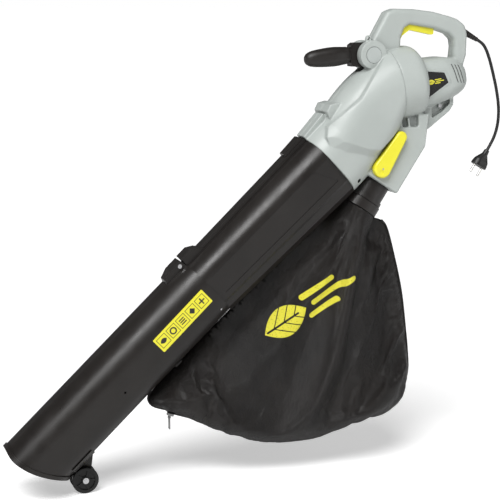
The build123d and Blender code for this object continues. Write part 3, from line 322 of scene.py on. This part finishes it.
def label_sign(n, kind, a, b):
    """Plain shape for one cell of the label: leaf, ring, three bars, diamond or cross."""
    if kind == "leaf":
        return n.leaf(a, b, (0.0, 0.0), 0.0080, 0.0050)
    if kind == "ring":
        radius = n.length(a, b)
        return n.without(n.inside(n.math("SUBTRACT", 0.0075, radius)),
                         n.inside(n.math("SUBTRACT", 0.0045, radius)))
    if kind == "bars":
        return n.either(*[n.bar(a, b, (0.0, up), 0.0055, 0.0012) for up in (0.0045, 0.0, -0.0045)])
    if kind == "diamond":
        spread = n.math("ADD", n.math("ABSOLUTE", a), n.math("ABSOLUTE", b))
        return n.inside(n.math("SUBTRACT", 0.0072, spread))
    return n.either(n.bar(a, b, (0.0, 0.0), 0.0062, 0.0014), n.bar(b, a, (0.0, 0.0), 0.0062, 0.0014))


def label_print():
    """Yellow tube label with five framed pictograms of plain shapes."""
    n = Nodes("label_print")
    s, t = n.flat((0.0, 0.0, 0.0), TUBE_ALONG, TUBE_UP)
    cells = []
    for k, kind in enumerate(LABEL_SIGNS):
        a = n.math("SUBTRACT", s, LABEL_FROM + k * LABEL_PITCH)
        b = n.math("SUBTRACT", t, LABEL_T)
        square = n.math("MAXIMUM", n.math("ABSOLUTE", a), n.math("ABSOLUTE", b))
        outline = n.without(n.inside(n.math("SUBTRACT", CELL_OUTSIDE, square)),
                            n.inside(n.math("SUBTRACT", CELL_INSIDE, square)))
        cells += [outline, label_sign(n, kind, a, b)]
    paper = n.mix(n.noise(30.0), (0.78, 0.72, 0.03), (0.85, 0.79, 0.05))
    colour = n.mix(n.either(*cells), paper, PRINT_BLACK)
    n.bump(n.noise(260.0), 0.12, 0.0001)
    return n.finish(colour, n.ramp(n.noise(50.0), 0.30, 0.42, 0.3, 0.7))


def badge_print():
    """Black badge with a yellow leaf and air bars."""
    n = Nodes("badge_print")
    a, b = n.flat(BADGE_CENTRE, BADGE_ALONG, BADGE_UP)
    mark = n.breeze_mark(a, b, BADGE_MARK)
    plate = n.mix(n.noise(60.0), (0.008, 0.008, 0.008), (0.014, 0.014, 0.014))
    colour = n.mix(mark, plate, PRINT_YELLOW)
    n.bump(n.noise(300.0), 0.1, 0.00005)
    return n.finish(colour, n.ramp(n.noise(80.0), 0.22, 0.34, 0.3, 0.7))


MATERIALS = {
    # the grey housing gets painted shade in its grooves and rear vents
    "grey_plastic": moulded("grey_plastic", (0.415, 0.450, 0.430), (0.455, 0.490, 0.470), 0.38,
                            crevice_shade=0.35),
    "black_plastic": moulded("black_plastic", (0.0130, 0.0112, 0.0102), (0.0205, 0.0180, 0.0165), 0.33,
                             specular=0.36),
    "dark_grey_plastic": moulded("dark_grey_plastic", (0.43, 0.465, 0.45), (0.47, 0.505, 0.49), 0.40),
    "yellow_plastic": moulded("yellow_plastic", (0.80, 0.74, 0.030), (0.86, 0.80, 0.050), 0.30),
    "wheel_plastic": moulded("wheel_plastic", (0.007, 0.007, 0.007), (0.012, 0.012, 0.012), 0.42,
                             specular=0.36),
    "black_rubber": soft_rubber("black_rubber", (0.0090, 0.0072, 0.0062), (0.0160, 0.0130, 0.0112), 0.44),
    "cord_jacket": soft_rubber("cord_jacket", (0.005, 0.005, 0.005), (0.009, 0.009, 0.009), 0.42),
    "steel": metal("steel", (0.55, 0.55, 0.56), (0.72, 0.72, 0.73), 0.30),
    "laminations": metal("laminations", (0.20, 0.19, 0.19), (0.30, 0.29, 0.28), 0.5, (900, 40, 40)),
    "copper": metal("copper", (0.55, 0.22, 0.09), (0.75, 0.36, 0.17), 0.28, (40, 900, 900)),
    "brass": metal("brass", (0.70, 0.50, 0.20), (0.82, 0.64, 0.32), 0.3),
    "brass_pins": metal("brass_pins", (0.62, 0.61, 0.58), (0.80, 0.79, 0.76), 0.16),
    "carbon": soft_rubber("carbon", (0.02, 0.02, 0.02), (0.05, 0.05, 0.05), 0.55, 1500.0),
    "bag_fabric": bag_fabric(),
    "zip_tape": soft_rubber("zip_tape", (0.012, 0.012, 0.012), (0.02, 0.02, 0.02), 0.7, 2000.0),
    "zip_metal": metal("zip_metal", (0.20, 0.20, 0.20), (0.32, 0.32, 0.32), 0.35),
    "label_print": label_print(),
    "badge_print": badge_print(),
}

for entry in frame["record"]["subparts"]:
    node = frame["nodes"][entry["node"]]
    node.data.materials.clear()
    node.data.materials.append(MATERIALS[entry["material_slot"]])


# ---------------------------------------------------------------- cord
CORD_DIAMETER, CORD_LENGTH = 0.0064, 0.2495
CORD_ROUTE = [(0.1217, 0.0, -0.04263), (0.1324, 0.0, -0.0482), (0.1424, 0.0006, -0.0592),
              (0.153, 0.0012, -0.083), (0.1624, 0.0015, -0.1134), (0.1716, 0.001, -0.148),
              (0.1774, 0.0002, -0.184), (0.1763, -0.0006, -0.2145), (0.1696, -0.001, -0.2405),
              (0.1606, 0.0, -0.259), (0.1526, 0.0, -0.272)]


def add_cord():
    data = bpy.data.curves.new("cord_curve", "CURVE")
    data.dimensions = "3D"
    data.bevel_depth, data.bevel_resolution, data.resolution_u = CORD_DIAMETER / 2, 6, 16
    data.use_fill_caps = True
    spline = data.splines.new("NURBS")
    spline.points.add(len(CORD_ROUTE) - 1)
    for point, place in zip(spline.points, CORD_ROUTE):
        point.co = (*place, 1)
    spline.order_u = 3
    spline.use_endpoint_u = True
    data.materials.append(MATERIALS["cord_jacket"])
    cord = bpy.data.objects.new("mains_cord", data)
    bpy.context.scene.collection.objects.link(cord)
    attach(cord, "root")
    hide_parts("cord")


add_cord()


# ---------------------------------------------------------------- bag
NECK_ANGLE = math.radians(56.8)
NECK_CENTRE = np.array([-0.142, -0.379])          # middle of the neck, (x, z)
NECK_ACROSS = np.array([-math.sin(NECK_ANGLE), math.cos(NECK_ANGLE)])
NECK_DOWN = np.array([-math.cos(NECK_ANGLE), -math.sin(NECK_ANGLE)])
NECK_RADIUS = 0.0395
BAG_EDGE = [(-0.197, -0.379), (-0.251, -0.422), (-0.337, -0.499), (-0.437, -0.591), (-0.526, -0.675),
            (-0.579, -0.726), (-0.588, -0.740), (-0.579, -0.757), (-0.548, -0.769), (-0.500, -0.7855),
            (-0.452, -0.802), (-0.398, -0.820), (-0.350, -0.834), (-0.295, -0.839), (-0.238, -0.837),
            (-0.190, -0.828), (-0.140, -0.820), (-0.092, -0.813), (-0.060, -0.800), (-0.038, -0.782),
            (-0.027, -0.758), (-0.021, -0.728), (-0.023, -0.690), (-0.028, -0.645), (-0.040, -0.558),
            (-0.060, -0.475), (-0.075, -0.425), (-0.087, -0.408)]
BAG_DEPTH, BAG_ROUND = 0.062, 0.12                # half thickness, and how far in it is reached
NECK_LENGTH = 0.10                                # over which the round neck turns into the bag
PLEAT_COUNT, PLEAT_HEIGHT, PLEAT_FADE, PLEAT_ORIGIN = 20, 0.16, 0.26, 0.05
CLOTH_STEP, CLOTH_JITTER, CLOTH_SEED = 0.0075, 0.0006, 5
CLOTH_ROW = 0.866                                 # row spacing, as a share of the step
RIM_TOLERANCE = 0.0005
CLOTH_FRAMES, CLOTH_OVERSIZE, CLOTH_TRAVEL = 24, 0.085, 0.030
NECK_HELD = 0.006                                 # length of neck that stays on the spout
TUBE_SIDE_REACH = 0.035
SEAM_STEP, SEAM_RADIUS = 0.006, 0.0021


def smooth_line(points, step):
    """Catmull-Rom curve through the points, in even steps."""
    knots = np.array([points[0], *points, points[-1]], float)
    fine = []
    for a, b, c, d in zip(knots, knots[1:], knots[2:], knots[3:]):
        for t in np.linspace(0, 1, 24, endpoint=False):
            fine.append(0.5 * (2 * b + (c - a) * t + (2 * a - 5 * b + 4 * c - d) * t ** 2
                               + (3 * b - a - 3 * c + d) * t ** 3))
    fine = np.array(fine + [knots[-1]])
    run = np.r_[0, np.cumsum(np.linalg.norm(np.diff(fine, axis=0), axis=1))]
    even = np.linspace(0, run[-1], int(run[-1] / step) + 1)
    return np.column_stack([np.interp(even, run, fine[:, k]) for k in (0, 1)])


def edge_distance(points, line):
    """Distance of each point from a polyline."""
    best = np.full(len(points), 9.0)
    for a, b in zip(line, line[1:]):
        ab = b - a
        t = np.clip(((points - a) @ ab) / (ab @ ab), 0, 1)
        best = np.minimum(best, np.linalg.norm(points - a - t[:, None] * ab, axis=1))
    return best


def within(points, outline):
    """True for each point inside a closed outline."""
    inside = np.zeros(len(points), bool)
    for a, b in zip(outline, outline[1:]):
        crosses = (a[1] > points[:, 1]) != (b[1] > points[:, 1])
        rise = 1 if a[1] == b[1] else b[1] - a[1]
        at = a[0] + (points[:, 1] - a[1]) / rise * (b[0] - a[0])
        inside ^= crosses & (points[:, 0] < at)
    return inside


def flat_panel(edge, left, right):
    """One panel of the bag, triangulated: its points, its faces and which points are on the edge."""
    neck = np.linspace(right, left, 12)[1:-1]
    rim = np.vstack([edge, neck])
    closed = np.vstack([rim, rim[:1]])
    low, high = rim.min(0), rim.max(0)
    rng = np.random.default_rng(CLOTH_SEED)
    xs = np.arange(low[0], high[0], CLOTH_STEP)
    zs = np.arange(low[1], high[1], CLOTH_STEP * CLOTH_ROW)
    grid = np.array([(x + (k % 2) * CLOTH_STEP / 2, z) for k, z in enumerate(zs) for x in xs])
    grid += rng.uniform(-CLOTH_JITTER, CLOTH_JITTER, grid.shape)
    grid = grid[within(grid, closed) & (edge_distance(grid, closed) > CLOTH_STEP * 0.6)]
    border = [(k, (k + 1) % len(rim)) for k in range(len(rim))]
    out = delaunay_2d_cdt([Vector(p) for p in np.vstack([rim, grid])], border, [], 1, 1e-6)
    on_edge = np.array([any(k < len(edge) for k in sources) for sources in out[3]])
    return np.array([tuple(v) for v in out[0]]), out[2], on_edge


def panel_depth(points, edge):
    """Half thickness of the bag at each point: a pleated pillow that narrows to a round neck."""
    depth = BAG_DEPTH * np.sqrt(1 - (1 - np.clip(edge_distance(points, edge) / BAG_ROUND, 0, 1)) ** 2)
    along = (points - NECK_CENTRE) @ NECK_DOWN
    across = (points - NECK_CENTRE) @ NECK_ACROSS
    tube = np.sqrt(np.clip(NECK_RADIUS ** 2 - across ** 2, 0, None))
    share = np.clip(along / NECK_LENGTH, 0, 1)
    share = share * share * (3 - 2 * share)
    spread = np.arctan2(across, along + PLEAT_ORIGIN)
    pleats = np.sin(PLEAT_COUNT * spread + 1.6 * np.sin(5 * spread)) * np.exp(-along / PLEAT_FADE)
    return tube * (1 - share) + depth * share * (1 + PLEAT_HEIGHT * pleats)


def bag_mesh():
    """Two panels joined along the bag's edge and open at the neck."""
    left = NECK_CENTRE + NECK_ACROSS * NECK_RADIUS
    right = NECK_CENTRE - NECK_ACROSS * NECK_RADIUS
    edge = smooth_line([left, *BAG_EDGE, right], CLOTH_STEP)
    points, faces, on_edge = flat_panel(edge, left, right)
    depth = panel_depth(points, edge)
    depth[on_edge] = 0
    count = len(points)
    far = np.arange(count) + count
    far[on_edge] = np.arange(count)[on_edge]
    coords = np.vstack([np.column_stack([points[:, 0], -depth, points[:, 1]]),
                        np.column_stack([points[:, 0], depth, points[:, 1]])])
    polys = [tuple(f) for f in faces] + [tuple(int(far[k]) for k in reversed(f)) for f in faces]
    mesh = bpy.data.meshes.new("bag_cloth")
    mesh.from_pydata([tuple(c) for c in coords], [], polys)
    bm = bmesh.new()
    bm.from_mesh(mesh)
    bmesh.ops.delete(bm, geom=[v for v in bm.verts if not v.link_faces], context="VERTS")
    bmesh.ops.recalc_face_normals(bm, faces=bm.faces)
    bm.to_mesh(mesh)
    bm.free()
    return mesh


def hold(bag, rest):
    """Vertex group of the rim seam and the top of the neck, which stay where they are."""
    group = bag.vertex_groups.new(name="held")
    seam = np.abs(rest[:, 1]) < 3 * RIM_TOLERANCE
    neck = (rest[:, [0, 2]] - NECK_CENTRE) @ NECK_DOWN < NECK_HELD
    for k in np.nonzero(seam | neck)[0]:
        group.add([int(k)], 1.0, "REPLACE")
    return group.name


def simulate(bag):
    """Lets the over-long cloth settle into folds, held by its rim seam and its neck."""
    rest = coordinates(bag.data)
    cloth = bag.modifiers.new("cloth", "CLOTH")
    s = cloth.settings
    s.quality = 6
    s.mass = 0.25
    s.tension_stiffness = s.compression_stiffness = 12
    s.shear_stiffness = 6
    s.bending_stiffness = 0.35
    s.tension_damping = s.compression_damping = s.shear_damping = 8
    s.air_damping = 2
    s.vertex_group_mass = hold(bag, rest)
    s.use_pressure = True
    s.uniform_pressure_force = 1.1
    s.effector_weights.gravity = 0.5
    s.shrink_min = -CLOTH_OVERSIZE
    cloth.collision_settings.use_collision = False
    cloth.point_cache.frame_end = CLOTH_FRAMES
    scene = bpy.context.scene
    for number in range(1, CLOTH_FRAMES + 1):
        scene.frame_set(number)
    moved = bag.evaluated_get(bpy.context.evaluated_depsgraph_get())
    step = coordinates(moved.data) - rest
    bag.modifiers.remove(cloth)
    scene.frame_set(1)
    length = np.linalg.norm(step, axis=1, keepdims=True)
    after = rest + step * np.minimum(1, CLOTH_TRAVEL / np.maximum(length, 1e-9))
    bag.data.vertices.foreach_set("co", after.astype(np.float32).ravel())
    bag.data.update()


def coordinates(mesh):
    """Vertex positions as an array of rows."""
    flat = np.empty(len(mesh.vertices) * 3, np.float32)
    mesh.vertices.foreach_get("co", flat)
    return flat.reshape(-1, 3).astype(float)


def ease(thing, weights, rounds, held):
    """Relaxes the mesh where the weights say, so that small creases there fade."""
    weights = np.where(held, 0.0, weights)[:, None]
    co = coordinates(thing.data)
    edges = np.empty(len(thing.data.edges) * 2, np.int32)
    thing.data.edges.foreach_get("vertices", edges)
    first, second = edges[::2], edges[1::2]
    count = np.bincount(edges, minlength=len(co))[:, None]
    for _ in range(rounds):
        total = np.column_stack([np.bincount(first, co[second, k], len(co))
                                 + np.bincount(second, co[first, k], len(co)) for k in range(3)])
        co += (total / np.maximum(count, 1) - co) * weights
    thing.data.vertices.foreach_set("co", co.astype(np.float32).ravel())
    thing.data.update()


def thread(name, points, radius, material):
    """A round bead along a line of points, with closed ends."""
    data = bpy.data.curves.new(name, "CURVE")
    data.dimensions = "3D"
    data.bevel_depth, data.bevel_resolution, data.use_fill_caps = radius, 2, True
    spline = data.splines.new("POLY")
    spline.points.add(len(points) - 1)
    for point, place in zip(spline.points, points):
        point.co = (*place, 1)
    data.materials.append(material)
    bead = bpy.data.objects.new(name, data)
    bpy.context.scene.collection.objects.link(bead)
    return bead


def add_bag():
    mesh = bag_mesh()
    bag = bpy.data.objects.new("leaf_bag", mesh)
    bpy.context.scene.collection.objects.link(bag)
    rim = np.abs(coordinates(mesh)[:, 1]) < RIM_TOLERANCE
    simulate(bag)
    flat = coordinates(mesh)[:, [0, 2]]
    tube_side = edge_distance(flat, np.array([BAG_EDGE[0], BAG_EDGE[4], BAG_EDGE[5]]))
    ease(bag, 0.5 * np.clip(1 - tube_side / TUBE_SIDE_REACH, 0, 1), 14, rim)
    ease(bag, np.full(len(flat), 0.25), 1, rim)
    crease = mesh.attributes.new("crease_edge", "FLOAT", "EDGE")
    crease.data.foreach_set("value", [float(rim[a] and rim[b]) for a, b in
                                      (e.vertices[:] for e in mesh.edges)])
    mesh.materials.append(MATERIALS["bag_fabric"])
    for polygon in mesh.polygons:
        polygon.use_smooth = True
    bag.vertex_groups.clear()
    finer = bag.modifiers.new("finer", "SUBSURF")
    finer.levels = finer.render_levels = 1
    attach(bag, "root")
    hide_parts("bag")
    edge = smooth_line(BAG_EDGE[5:], SEAM_STEP)
    seam = thread("bag_seam", [(x, 0.0, z) for x, z in edge], SEAM_RADIUS, MATERIALS["bag_fabric"])
    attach(seam, "root")


add_bag()


# ---------------------------------------------------------------- moulded housing shells
SHELL_VOXEL, SHELL_ROUNDS, SHELL_KEPT = 0.0013, 3, 0.45
VENTS = (0.036, 0.080, -0.134, -0.084)            # x and z limits of the rear vents
VENTS_OUTSIDE = 0.012


def settle(thing):
    """Replaces the mesh by what its modifiers make of it."""
    done = bpy.data.meshes.new_from_object(thing.evaluated_get(bpy.context.evaluated_depsgraph_get()))
    thing.modifiers.clear()
    thing.data = done


def add_shell(node):
    """The CAD shell with the small rounded edges and soft transitions of a moulding."""
    shell = bpy.data.objects.new(node + "_shell", frame["nodes"][node].data.copy())
    bpy.context.scene.collection.objects.link(shell)
    remesh = shell.modifiers.new("remesh", "REMESH")
    remesh.mode, remesh.voxel_size = "VOXEL", SHELL_VOXEL
    settle(shell)
    co = coordinates(shell.data)
    x, y, z = co.T
    vents = (x > VENTS[0]) & (x < VENTS[1]) & (z > VENTS[2]) & (z < VENTS[3]) & (np.abs(y) > VENTS_OUTSIDE)
    ease(shell, np.full(len(co), 0.5), SHELL_ROUNDS, vents)
    thin = shell.modifiers.new("thin", "DECIMATE")
    thin.ratio = SHELL_KEPT
    settle(shell)
    for polygon in shell.data.polygons:
        polygon.use_smooth = True
    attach(shell, frame["nodes"][node]["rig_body"])
    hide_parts(node)
    return shell


for half in ("housing_left", "housing_right"):
    add_shell(half)


# ---------------------------------------------------------------- floor and light
WORLD_LIGHT, SUN_POWER, FLOOR_GLOW = 0.10, 2.4, 0.46
SUN_SPREAD, SUN_AIM = math.radians(35), (0.45, 0.62, -1.0)
FLOOR_SIZE, FLOOR_GAP, FLOOR_COLOUR = 300, 0.0002, (0.92, 0.92, 0.92)
# name, place, aim, size and power of each panel light
PANELS = [("left_panel", (-1.6, -1.6, 1.3), (-0.4, 0, -0.45), (1.6, 0.5), 26),
          ("right_panel", (1.6, -1.4, -0.1), (-0.2, 0, -0.5), (0.5, 1.5), 8)]


def add_floor():
    bm = bmesh.new()
    bmesh.ops.create_grid(bm, x_segments=2, y_segments=2, size=FLOOR_SIZE)
    mesh = bpy.data.meshes.new("floor")
    bm.to_mesh(mesh)
    bm.free()
    floor = bpy.data.objects.new("floor", mesh)
    floor.location.z = FLOOR_Z - FLOOR_GAP
    bpy.context.scene.collection.objects.link(floor)
    n = Nodes("studio_floor")
    n.bump(n.noise(6.0), 0.02, 0.001)
    path = n.add("ShaderNodeLightPath")
    n.feed(n.shader.inputs["Emission Strength"], n.ramp(path.outputs["Is Camera Ray"], 0.0, FLOOR_GLOW))
    mesh.materials.append(n.finish(FLOOR_COLOUR, 0.8, Emission_Color=(1, 1, 1, 1)))


def add_area(name, place, aim, size, power):
    data = bpy.data.lights.new(name, "AREA")
    data.shape, data.size, data.size_y = "RECTANGLE", *size
    data.energy = power
    light = bpy.data.objects.new(name, data)
    light.location = place
    light.rotation_euler = (Vector(aim) - Vector(place)).to_track_quat("-Z", "Y").to_euler()
    bpy.context.scene.collection.objects.link(light)


def add_light():
    world = bpy.data.worlds.new("studio")
    world.use_nodes = True
    tree = world.node_tree
    background = tree.nodes["Background"]
    background.inputs["Color"].default_value = (1, 1, 1, 1)
    path = tree.nodes.new("ShaderNodeLightPath")
    strength = tree.nodes.new("ShaderNodeMapRange")
    strength.inputs["To Min"].default_value = WORLD_LIGHT
    strength.inputs["To Max"].default_value = 1.0
    tree.links.new(path.outputs["Is Camera Ray"], strength.inputs["Value"])
    tree.links.new(strength.outputs[0], background.inputs["Strength"])
    bpy.context.scene.world = world
    sun = bpy.data.lights.new("key_sun", "SUN")
    sun.energy, sun.angle = SUN_POWER, SUN_SPREAD
    holder = bpy.data.objects.new("key_sun", sun)
    holder.rotation_euler = Vector(SUN_AIM).to_track_quat("-Z", "Y").to_euler()
    bpy.context.scene.collection.objects.link(holder)
    for panel in PANELS:
        add_area(*panel)
    bpy.context.scene.view_settings.view_transform = "Standard"


add_floor()
add_light()
